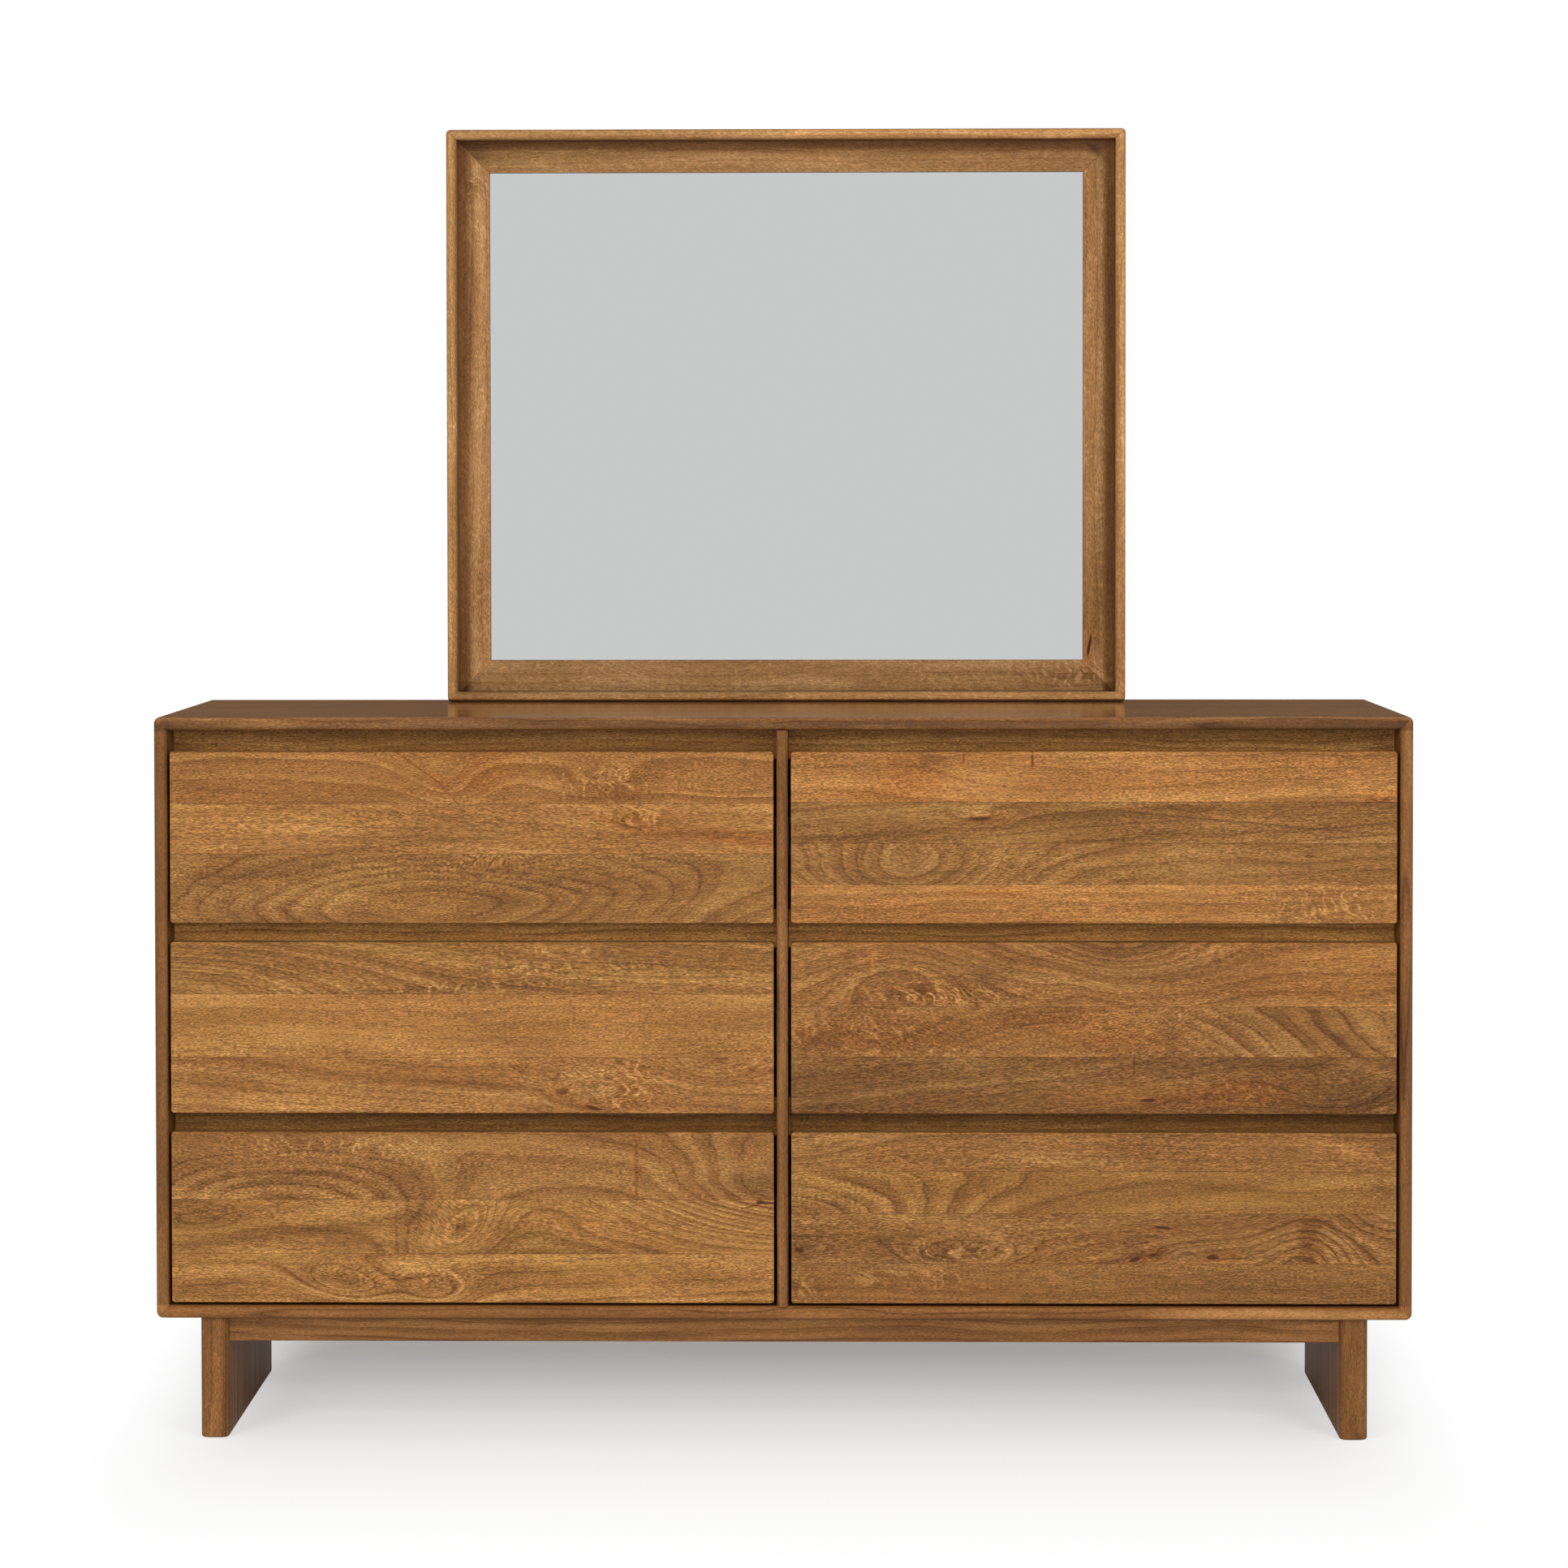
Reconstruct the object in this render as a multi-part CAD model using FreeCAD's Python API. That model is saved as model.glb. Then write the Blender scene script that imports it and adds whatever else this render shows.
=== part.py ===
import FreeCAD, Part
import math
import os

# A six-drawer double dresser with a mirror, in mango wood. Millimetres, +Z up, front to -Y.
# The origin is on the floor, under the middle of the whole object's bounding box.

# ---- Driving dimensions: case --------------------------------------------------------
case_width = 1524.0
case_depth = 457.0
case_height = 732.0
base_height = 148.0          # floor to the underside of the case
board_thickness = 16.0       # top, bottom and sides
corner_round = 8.0           # outer mitred corners, seen from the front
edge_round = 7.0             # front edges of the boards
divider_thickness = 14.0
divider_round = 6.0
back_thickness = 5.0
back_rabbet = 8.0            # how far the back panel reaches into the boards
back_clearance = 0.5

# ---- Driving dimensions: rails behind the finger gaps ---------------------------------
rail_setback = 60.0          # case front to the rail's face
rail_thickness = 20.0
rail_overlap = 12.0          # how far a rail runs on behind a drawer front
rear_rail_height = 60.0
rear_rail_thickness = 20.0

# ---- Driving dimensions: base ---------------------------------------------------------
leg_thickness = 34.0
leg_inset = 52.0             # case side to the leg's outer face
leg_front_setback = 12.0
leg_rear_setback = 30.0
leg_round = 10.0             # upright edges
leg_foot_round = 3.0         # edges that meet the floor
apron_height = 31.0
apron_thickness = 20.0
apron_setback = 10.0         # leg face to apron face
apron_edge_round = 1.5

# ---- Driving dimensions: drawers ------------------------------------------------------
top_gap = 26.0               # above the top drawer front
finger_gap = 23.0            # between two drawer fronts
bottom_gap = 4.0
side_gap = 3.5
front_thickness = 20.0
front_corner_round = 3.5     # corners, seen from the front
front_edge_round = 2.0       # edges of the face
box_thickness = 12.0         # sides and ends of the drawer box
box_rail_clearance = 4.0     # drawer box to the rails above and below
box_rear_gap = 12.0          # drawer box to the rear rail
box_edge_round = 1.5
tail_count = 5               # dovetails at each corner of a drawer box
tail_share = 0.5             # a tail's root, as a share of the tail pitch
tail_flare_angle = 9.0       # degrees
bottom_thickness = 5.0
bottom_lift = 8.0            # box lower edge to the bottom panel
bottom_groove = 5.0          # how far the bottom panel reaches into the box

# ---- Driving dimensions: telescopic runners --------------------------------------------
runner_space = 12.7          # bay wall to drawer box
runner_height = 45.0
runner_sheet = 1.2
runner_lip = 9.0             # cabinet channel, out from the bay wall
ball_race = 4.3              # height of each ball race
ball_width = 6.0
slide_clearance = 0.3        # between members that slide on each other
web_clearance = 0.7

# ---- Driving dimensions: mirror --------------------------------------------------------
mirror_width = 880.0
mirror_height = 742.0
mirror_depth = 65.0
frame_thickness = 13.0
frame_round = 6.0            # front edges of the frame
frame_corner_round = 6.0     # outer corners, seen from the front
liner_width = 39.5           # frame to the edge of the visible glass
liner_step = 44.0            # frame front to the liner's outer edge
liner_slope = 3.0            # how much deeper the liner is at the glass
glass_thickness = 4.0
glass_rabbet = 8.0           # how far the glass reaches behind the liner
glass_clearance = 1.0
backing_thickness = 6.0
backing_clearance = 0.5
support_width = 50.0
support_thickness = 20.0
support_rise = 520.0         # above the dresser top
support_drop = 90.0          # below the dresser top
support_round = 4.0

# ---- Driving dimensions: support screws -------------------------------------------------
screw_radius = 2.0
screw_head_radius = 4.0
screw_head_height = 2.4
screw_slot = 1.0             # cross recess, width of an arm
screw_slot_depth = 1.2
screw_bite = 10.0            # depth in the wood beyond the panel
mirror_screw_heights = (45.0, 240.0, 470.0)
case_screw_drops = (30.0, 60.0)

# ---- Places worked out from them --------------------------------------------------------
front_y = -(case_depth + support_thickness) / 2
rear_y = front_y + case_depth
case_bottom = base_height
case_top = base_height + case_height
half_width = case_width / 2
opening_bottom = case_bottom + board_thickness
opening_top = case_top - board_thickness
panel_front_y = rear_y - back_thickness
bays = {
    "left": (-half_width + board_thickness, -divider_thickness / 2),
    "right": (divider_thickness / 2, half_width - board_thickness),
}
rows = ("top", "middle", "bottom")
gaps_total = top_gap + finger_gap * (len(rows) - 1) + bottom_gap
front_height = (opening_top - opening_bottom - gaps_total) / len(rows)
box_inset = rail_overlap + box_rail_clearance
box_front_y = front_y + front_thickness
box_rear_y = panel_front_y - rear_rail_thickness - box_rear_gap
far = case_width             # longer than any board


def front_bottom(row):
    """Height of the lower edge of a drawer front."""
    below = len(rows) - 1 - rows.index(row)
    return opening_bottom + bottom_gap + below * (front_height + finger_gap)


def box(x0, x1, y0, y1, z0, z1):
    return Part.makeBox(x1 - x0, y1 - y0, z1 - z0, FreeCAD.Vector(x0, y0, z0))


def prism(points, along, start, end):
    """A straight prism: points are (x, z) along Y, or (y, z) along X."""
    if along == "y":
        corners = [FreeCAD.Vector(a, start, b) for a, b in points]
        path = FreeCAD.Vector(0, end - start, 0)
    else:
        corners = [FreeCAD.Vector(start, a, b) for a, b in points]
        path = FreeCAD.Vector(end - start, 0, 0)
    face = Part.Face(Part.makePolygon(corners + corners[:1]))
    return face.extrude(path)


def edges_on(shape, axis, value):
    """Edges that lie wholly at one value of x, y or z."""
    found = []
    for edge in shape.Edges:
        low = getattr(edge.BoundBox, axis + "Min")
        high = getattr(edge.BoundBox, axis + "Max")
        if abs(low - value) < 0.01 and abs(high - value) < 0.01:
            found.append(edge)
    return found


def edges_along(shape, axis, keep=lambda edge: True):
    """Straight edges that run along x, y or z."""
    found = []
    for edge in shape.Edges:
        spans = {name: getattr(edge.BoundBox, name.upper() + "Length") for name in "xyz"}
        others = [spans[name] for name in "xyz" if name != axis]
        if spans[axis] > 0.01 and max(others) < 0.01 and keep(edge):
            found.append(edge)
    return found


def mirrored(shape):
    return shape.mirror(FreeCAD.Vector(0, 0, 0), FreeCAD.Vector(1, 0, 0))


def save(name, *solids):
    shape = solids[0] if len(solids) == 1 else Part.makeCompound(list(solids))
    shape.exportStep("parts/" + name + ".step")


# ---- Mitred rings: the case and the two mirror frames ------------------------------------
def wedges(x0, x1, z0, z1, inward, y0, y1):
    """Four prisms that meet on the mitre lines of a rectangle, named by side."""
    out = 5.0
    a0, a1, b0, b1 = x0 - out, x1 + out, z0 - out, z1 + out
    c0, c1, d0, d1 = x0 + inward, x1 - inward, z0 + inward, z1 - inward
    outlines = {
        "top": [(a0, b1), (a1, b1), (c1, d1), (c0, d1)],
        "bottom": [(a0, b0), (a1, b0), (c1, d0), (c0, d0)],
        "left": [(a0, b0), (a0, b1), (c0, d1), (c0, d0)],
        "right": [(a1, b0), (a1, b1), (c1, d1), (c1, d0)],
    }
    return {side: prism(points, "y", y0, y1) for side, points in outlines.items()}


def rounded_ring(x0, x1, z0, z1, y0, y1, thickness, corner, edge):
    """A rectangular tube along Y with round outer corners and round front edges."""
    block = box(x0, x1, y0, y1, z0, z1)
    block = block.makeFillet(corner, edges_along(block, "y"))
    inside = box(x0 + thickness, x1 - thickness, y0 - 1, y1 + 1, z0 + thickness, z1 - thickness)
    ring = block.cut(inside)
    return ring.makeFillet(edge, edges_on(ring, "Y", y0))


def mitred(ring, x0, x1, z0, z1, inward, y0, y1):
    """The four boards of a ring, cut apart at 45 degrees."""
    cutters = wedges(x0, x1, z0, z1, inward, y0 - 1, y1 + 1)
    return {side: ring.common(cutter).Solids[0] for side, cutter in cutters.items()}


def case_boards():
    ring = rounded_ring(-half_width, half_width, case_bottom, case_top, front_y, rear_y,
                        board_thickness, corner_round, edge_round)
    rabbet = box(-half_width + board_thickness - back_rabbet,
                 half_width - board_thickness + back_rabbet, panel_front_y, rear_y + 1,
                 opening_bottom - back_rabbet, opening_top + back_rabbet)
    boards = mitred(ring.cut(rabbet), -half_width, half_width, case_bottom, case_top,
                    board_thickness + 1, front_y, rear_y)
    save("case_top", boards["top"])
    save("case_bottom", boards["bottom"])
    save("case_side_left", boards["left"])
    save("case_side_right", boards["right"])


def centre_divider():
    half = divider_thickness / 2
    board = box(-half, half, front_y, panel_front_y, opening_bottom, opening_top)
    front = edges_along(board, "z", lambda edge: edge.BoundBox.YMax < front_y + 0.01)
    save("centre_divider", board.makeFillet(divider_round, front))


def rails():
    """Rails behind the finger gaps, and rear rails that take the mirror's screws."""
    y0 = front_y + rail_setback
    y1 = y0 + rail_thickness
    top_rails = []
    finger_rails = []
    rear_rails = []
    for x0, x1 in bays.values():
        lower = front_bottom("top") + front_height - rail_overlap
        top_rails.append(box(x0, x1, y0, y1, lower, opening_top))
        for row in rows[1:]:
            gap_bottom = front_bottom(row) + front_height
            finger_rails.append(box(x0, x1, y0, y1, gap_bottom - rail_overlap,
                                    gap_bottom + finger_gap + rail_overlap))
        rear_rails.append(box(x0, x1, panel_front_y - rear_rail_thickness, panel_front_y,
                              opening_top - rear_rail_height, opening_top))
    cuts = case_screws()
    save("top_rails", *top_rails)
    save("finger_rails", *finger_rails)
    save("rear_rails", *[drilled(rail, cuts) for rail in rear_rails])


def back_panel():
    reach = back_rabbet - back_clearance
    panel = box(-half_width + board_thickness - reach, half_width - board_thickness + reach,
                panel_front_y, rear_y, opening_bottom - reach, opening_top + reach)
    save("back_panel", drilled(panel, case_screws()))


# ---- Base ---------------------------------------------------------------------------------
def base():
    leg_y0 = front_y + leg_front_setback
    leg_y1 = rear_y - leg_rear_setback
    outer = half_width - leg_inset
    inner = outer - leg_thickness
    slab = box(inner, outer, leg_y0, leg_y1, 0, case_bottom)
    slab = slab.makeFillet(leg_round, edges_along(slab, "z"))
    slab = slab.makeFillet(leg_foot_round, edges_on(slab, "Z", 0))
    save("leg_right", slab)
    save("leg_left", mirrored(slab))
    starts = {
        "front_apron": leg_y0 + apron_setback,
        "rear_apron": leg_y1 - apron_setback - apron_thickness,
    }
    for name, y0 in starts.items():
        bar = box(-inner, inner, y0, y0 + apron_thickness, case_bottom - apron_height, case_bottom)
        lower = edges_along(bar, "x", lambda edge: edge.BoundBox.ZMax < case_bottom - 1)
        save(name, bar.makeFillet(apron_edge_round, lower))


# ---- Drawers ------------------------------------------------------------------------------
def drawer_front(x0, x1, z0):
    slab = box(x0 + side_gap, x1 - side_gap, front_y, box_front_y, z0, z0 + front_height)
    slab = slab.makeFillet(front_corner_round, edges_along(slab, "y"))
    return slab.makeFillet(front_edge_round, edges_on(slab, "Y", front_y))


def tails(x0, x1, y_root, y_end, z0, z1):
    """Dovetails of one corner, widening from y_root to y_end."""
    pitch = (z1 - z0) / tail_count
    root = pitch * tail_share / 2
    end = root + abs(y_end - y_root) * math.tan(math.radians(tail_flare_angle))
    shapes = []
    for number in range(tail_count):
        middle = z0 + (number + 0.5) * pitch
        outline = [(y_root, middle - root), (y_root, middle + root),
                   (y_end, middle + end), (y_end, middle - end)]
        shapes.append(prism(outline, "x", x0, x1))
    return Part.makeCompound(shapes)


def drawer_box(x0, x1, z0, z1):
    """Two sides, two ends and a bottom panel that sits in grooves."""
    y0, y1 = box_front_y, box_rear_y
    wall = box_thickness
    side_spans = ((x0, x0 + wall), (x1 - wall, x1))
    end_spans = ((y0 + wall, y0), (y1 - wall, y1))
    panel = box(x0 + wall - bottom_groove, x1 - wall + bottom_groove,
                y0 + wall - bottom_groove, y1 - wall + bottom_groove,
                z0 + bottom_lift, z0 + bottom_lift + bottom_thickness)
    corners = {}
    for side in side_spans:
        for end in end_spans:
            corners[side, end] = tails(*side, *end, z0, z1)
    sides = []
    for side in side_spans:
        board = box(*side, y0, y1, z0, z1)
        for end in end_spans:
            corner = box(*side, min(end), max(end), z0, z1)
            board = board.cut(corner.cut(corners[side, end]))
        sides.append(softened(board.cut(panel), z1))
    ends = []
    for end in end_spans:
        board = box(x0, x1, min(end), max(end), z0, z1)
        for side in side_spans:
            board = board.cut(corners[side, end])
        ends.append(softened(board.cut(panel), z1))
    return sides, ends, panel


def softened(board, top):
    """Round the two long upper edges of a drawer box board."""
    length = max(board.BoundBox.XLength, board.BoundBox.YLength)
    along = "x" if board.BoundBox.XLength == length else "y"

    def upper(edge):
        return edge.BoundBox.ZMin > top - 0.01 and edge.Length > length / 2

    return board.makeFillet(box_edge_round, edges_along(board, along, upper)).Solids[0]


# ---- Telescopic runners: cabinet channel, middle member, drawer channel ---------------------
def channel(x_web, x_open, half_height, y0, y1, z):
    """A thin C-channel along Y, its web at x_web and its mouth at x_open."""
    step = math.copysign(runner_sheet, x_open - x_web)
    inner = half_height - runner_sheet
    outline = [(x_web, z - half_height), (x_open, z - half_height), (x_open, z - inner),
               (x_web + step, z - inner), (x_web + step, z + inner), (x_open, z + inner),
               (x_open, z + half_height), (x_web, z + half_height)]
    return prism(outline, "y", y0, y1)


def runner_parts(wall_x, toward, z):
    """Solids of one runner: wall_x is the bay wall, toward is +1 or -1, out from it."""
    y0, y1 = box_front_y, box_rear_y

    def at(distance):
        return wall_x + toward * distance

    def bar(d0, d1, low, high):
        return box(min(at(d0), at(d1)), max(at(d0), at(d1)), y0, y1, z + low, z + high)

    cabinet_half = runner_height / 2
    middle_half = cabinet_half - runner_sheet - ball_race
    drawer_half = middle_half - runner_sheet - ball_race
    cabinet = channel(at(0), at(runner_lip), cabinet_half, y0, y1, z)
    middle_start = runner_sheet + web_clearance
    middle_end = runner_space - runner_sheet - web_clearance
    web_middle = (middle_start + middle_end) / 2
    flanges = [bar(middle_start, middle_end, low, low + runner_sheet)
               for low in (-middle_half, middle_half - runner_sheet)]
    web = bar(web_middle - runner_sheet / 2, web_middle + runner_sheet / 2,
              -middle_half, middle_half)
    middle = web.fuse(flanges).removeSplitter()
    drawer_mouth = web_middle + runner_sheet / 2 + web_clearance
    drawer = channel(at(runner_space), at(drawer_mouth), drawer_half, y0, y1, z)
    balls = []
    outer_low = middle_half
    outer_high = cabinet_half - runner_sheet - slide_clearance
    inner_low = drawer_half + slide_clearance
    inner_high = middle_half - runner_sheet
    outer_end = runner_lip - slide_clearance
    inner_start = drawer_mouth + slide_clearance
    for sign in (1, -1):
        low, high = sorted((sign * outer_low, sign * outer_high))
        balls.append(bar(outer_end - ball_width, outer_end, low, high))
        low, high = sorted((sign * inner_low, sign * inner_high))
        balls.append(bar(inner_start, middle_end, low, high))
    return cabinet, [middle] + balls, drawer


def drawers():
    cabinet_runners = []
    for bay, (x0, x1) in bays.items():
        for row in rows:
            name = bay + "_" + row
            z0 = front_bottom(row)
            box_z0, box_z1 = z0 + box_inset, z0 + front_height - box_inset
            save("drawer_front_" + name, drawer_front(x0, x1, z0))
            sides, ends, panel = drawer_box(x0 + runner_space, x1 - runner_space, box_z0, box_z1)
            save("box_sides_" + name, *sides)
            save("box_ends_" + name, *ends)
            save("box_bottom_" + name, panel)
            middle_members = []
            drawer_channels = []
            for wall_x, toward in ((x0, 1), (x1, -1)):
                cabinet, middle, channel_part = runner_parts(wall_x, toward,
                                                             (box_z0 + box_z1) / 2)
                cabinet_runners.append(cabinet)
                middle_members += middle
                drawer_channels.append(channel_part)
            save("middle_runners_" + name, *middle_members)
            save("drawer_runners_" + name, *drawer_channels)
    save("cabinet_runners", *cabinet_runners)


# ---- Mirror -------------------------------------------------------------------------------
mirror_half = mirror_width / 2
mirror_bottom = case_top
mirror_top = case_top + mirror_height
mirror_front_y = rear_y - mirror_depth
backing_front_y = rear_y - backing_thickness
support_x = mirror_half - frame_thickness - liner_width / 2


def mirror_frame():
    ring = rounded_ring(-mirror_half, mirror_half, mirror_bottom, mirror_top, mirror_front_y,
                        rear_y, frame_thickness, frame_corner_round, frame_round)
    boards = mitred(ring, -mirror_half, mirror_half, mirror_bottom, mirror_top,
                    frame_thickness + 1, mirror_front_y, rear_y)
    for side, board in boards.items():
        save("mirror_frame_" + side, board)


def mirror_liner():
    """Four flat mouldings that slope back to the glass, rabbeted behind for it."""
    x0, x1 = -mirror_half + frame_thickness, mirror_half - frame_thickness
    z0, z1 = mirror_bottom + frame_thickness, mirror_top - frame_thickness
    face_y = mirror_front_y + liner_step
    sight_y = face_y + liner_slope
    glass_y = backing_front_y - glass_thickness
    notch = liner_width - glass_rabbet
    section = [(0, face_y), (liner_width, sight_y), (liner_width, glass_y), (notch, glass_y),
               (notch, backing_front_y), (0, backing_front_y)]
    bars = {
        "bottom": prism([(y, z0 + inward) for inward, y in section], "x", x0, x1),
        "top": prism([(y, z1 - inward) for inward, y in section], "x", x0, x1),
    }
    for side, edge_x, sign in (("left", x0, 1), ("right", x1, -1)):
        corners = [FreeCAD.Vector(edge_x + sign * inward, y, z0) for inward, y in section]
        face = Part.Face(Part.makePolygon(corners + corners[:1]))
        bars[side] = face.extrude(FreeCAD.Vector(0, 0, z1 - z0))
    cutters = wedges(x0, x1, z0, z1, liner_width + 1, face_y - 1, rear_y)
    pieces = {side: bars[side].common(cutters[side]).Solids[0] for side in bars}
    cuts = mirror_screws()
    save("mirror_liner_rails", pieces["top"], pieces["bottom"])
    save("mirror_liner_stiles", drilled(pieces["left"], cuts), drilled(pieces["right"], cuts))


def mirror_glass_and_backing():
    inset = frame_thickness + liner_width - glass_rabbet + glass_clearance
    glass = box(-mirror_half + inset, mirror_half - inset, backing_front_y - glass_thickness,
                backing_front_y, mirror_bottom + inset, mirror_top - inset)
    save("mirror_glass", glass)
    inset = frame_thickness + backing_clearance
    backing = box(-mirror_half + inset, mirror_half - inset, backing_front_y, rear_y,
                  mirror_bottom + inset, mirror_top - inset)
    save("mirror_backing", drilled(backing, mirror_screws()))


def mirror_supports():
    x0, x1 = support_x - support_width / 2, support_x + support_width / 2
    post = box(x0, x1, rear_y, rear_y + support_thickness, case_top - support_drop,
               case_top + support_rise)
    rear = edges_on(post, "Y", rear_y + support_thickness)
    post = post.makeFillet(support_round, rear)
    cuts = mirror_screws() + case_screws()
    save("mirror_supports", drilled(post, cuts), drilled(mirrored(post), cuts))


# ---- Support screws -------------------------------------------------------------------------
def wood_screw(x, z, length, recess=True):
    """A countersunk screw driven from behind, its head flush with the support."""
    head_y = rear_y + support_thickness
    forward = FreeCAD.Vector(0, -1, 0)
    head = Part.makeCone(screw_head_radius, screw_radius, screw_head_height,
                         FreeCAD.Vector(x, head_y, z), forward)
    shank = Part.makeCylinder(screw_radius, length - screw_head_height,
                              FreeCAD.Vector(x, head_y - screw_head_height, z), forward)
    screw = head.fuse(shank).removeSplitter()
    if recess:
        arm, half = screw_head_radius * 0.6, screw_slot / 2
        y0 = head_y - screw_slot_depth
        screw = screw.cut(box(x - arm, x + arm, y0, head_y + 1, z - half, z + half))
        screw = screw.cut(box(x - half, x + half, y0, head_y + 1, z - arm, z + arm))
    return screw


def mirror_screws(recess=False):
    length = support_thickness + backing_thickness + screw_bite
    return [wood_screw(sign * support_x, case_top + height, length, recess)
            for sign in (-1, 1) for height in mirror_screw_heights]


def case_screws(recess=False):
    length = support_thickness + back_thickness + screw_bite
    return [wood_screw(sign * support_x, case_top - drop, length, recess)
            for sign in (-1, 1) for drop in case_screw_drops]


def drilled(board, screws):
    """A board with a hole for each screw that passes into it."""
    for screw in screws:
        if board.BoundBox.intersect(screw.BoundBox):
            board = board.cut(screw)
    return board.Solids[0]


def main():
    os.makedirs("parts", exist_ok=True)
    case_boards()
    centre_divider()
    rails()
    back_panel()
    base()
    drawers()
    mirror_frame()
    mirror_liner()
    mirror_glass_and_backing()
    mirror_supports()
    save("support_screws", *mirror_screws(recess=True), *case_screws(recess=True))


main()
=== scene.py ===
import math
from typing import NamedTuple

import bpy
from bpy.props import FloatProperty, FloatVectorProperty, PointerProperty
from mathutils import Matrix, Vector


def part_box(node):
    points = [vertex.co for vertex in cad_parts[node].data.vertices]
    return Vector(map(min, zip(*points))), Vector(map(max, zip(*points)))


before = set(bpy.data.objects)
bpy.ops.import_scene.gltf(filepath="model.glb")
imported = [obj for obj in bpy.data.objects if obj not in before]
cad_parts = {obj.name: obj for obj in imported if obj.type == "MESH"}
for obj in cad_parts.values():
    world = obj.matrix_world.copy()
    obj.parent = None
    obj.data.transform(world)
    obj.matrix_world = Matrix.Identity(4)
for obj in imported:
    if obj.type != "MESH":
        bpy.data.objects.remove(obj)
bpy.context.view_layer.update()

bl_info = {
    "name": "Mango Wood Dresser",
    "version": (1, 0, 0),
    "blender": (4, 5, 0),
    "location": "3D View > Sidebar > Dresser",
    "description": "Finishes for a six-drawer dresser with a mirror, and the studio it stands in",
    "category": "Object",
}

MM = 0.001
DRAWERS = [bay + "_" + row for bay in ("left", "right") for row in ("top", "middle", "bottom")]
WHITE = (1.0, 1.0, 1.0, 1.0)

# Sizes of the wood's figure, in mm.
BOARD_STEP = 400.0       # in the noise, between the places that two glued strips are cut from
RING_PITCH = 15.0        # from one growth ring to the next
SEAM_WIDTH = 0.8         # from the middle of a glue line to where it has faded
CASE_LIP = 17.0          # front edges of the case's top and bottom boards
CASE_LIP_DEPTH = 16.0    # from the case's front to where its rounded lip has ended
MIRROR_LIP = 12.0        # the same for the mirror's frame
SHADE_STRENGTH = 1.6     # change of brightness for a shade of 1

# The studio, in metres and degrees.
FLOOR_RADIUS = 5.0
FLOOR_DROP = 0.3 * MM    # the feet's soles must not share a plane with the floor
SOFTBOX_DISTANCE = 4.2
SOFTBOX_WIDTH = 1.6
SOFTBOXES = (            # name, turn, height of its middle, tilt, its own height, its setting
    ("left", -32, 2.1, 72, 1.6, "key"),
    ("right", 32, 2.1, 72, 1.6, "key"),
    ("low", 0, 1.1, 87, 0.5, "fill"),
)
FLAG_PLACE = (0.0, 1.4, 1.9)
FLAG_SIZE = (5.0, 2.2, 1.0)
FLAG_COLOUR = (0.21, 0.13, 0.078, 1.0)
FLOOR_COLOUR = (0.93, 0.925, 0.92, 1.0)

# The floor's shadow, in mm from the dresser's middle: where it has gone, and where it is full.
SHADOW_SIDES = (860, 620)
SHADOW_FRONT = (-950, -100)
SHADOW_BACK = (1200, 700)


def screen(red, green, blue):
    """A colour as a screen shows it, each part from 0 to 255, as linear RGBA."""
    parts = [part / 255 for part in (red, green, blue)]
    linear = [p / 12.92 if p <= 0.04045 else ((p + 0.055) / 1.055) ** 2.4 for p in parts]
    return (*linear, 1.0)


# ---- Shader trees ------------------------------------------------------------------------
class Value:
    """A socket of a shader tree. Python's operators on it add Math nodes."""

    def __init__(self, tree, socket):
        self.tree = tree
        self.socket = socket

    def maths(self, operation, *terms):
        return self.tree.node("ShaderNodeMath", {"operation": operation}, dict(enumerate(terms)))

    def __add__(self, other):
        return self.maths("ADD", self, other)

    def __radd__(self, other):
        return self.maths("ADD", other, self)

    def __sub__(self, other):
        return self.maths("SUBTRACT", self, other)

    def __rsub__(self, other):
        return self.maths("SUBTRACT", other, self)

    def __mul__(self, other):
        return self.maths("MULTIPLY", self, other)

    def __rmul__(self, other):
        return self.maths("MULTIPLY", other, self)

    def __truediv__(self, other):
        return self.maths("DIVIDE", self, other)

    def __neg__(self):
        return self.maths("MULTIPLY", self, -1.0)

    def __abs__(self):
        return self.maths("ABSOLUTE", self)

    def __gt__(self, other):
        return self.maths("GREATER_THAN", self, other)

    def __lt__(self, other):
        return self.maths("LESS_THAN", self, other)

    def lesser(self, other):
        return self.maths("MINIMUM", self, other)

    def greater(self, other):
        return self.maths("MAXIMUM", self, other)

    def fraction(self):
        return self.maths("FRACT", self)

    def fading(self):
        """e to the power of minus this value."""
        return self.maths("EXPONENT", -self)

    def between(self, low, high):
        """0 below low, 1 above high, and smooth between them."""
        return self.tree.node("ShaderNodeMapRange", {"interpolation_type": "SMOOTHSTEP"},
                              {"Value": self, "From Min": low, "From Max": high})


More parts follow.
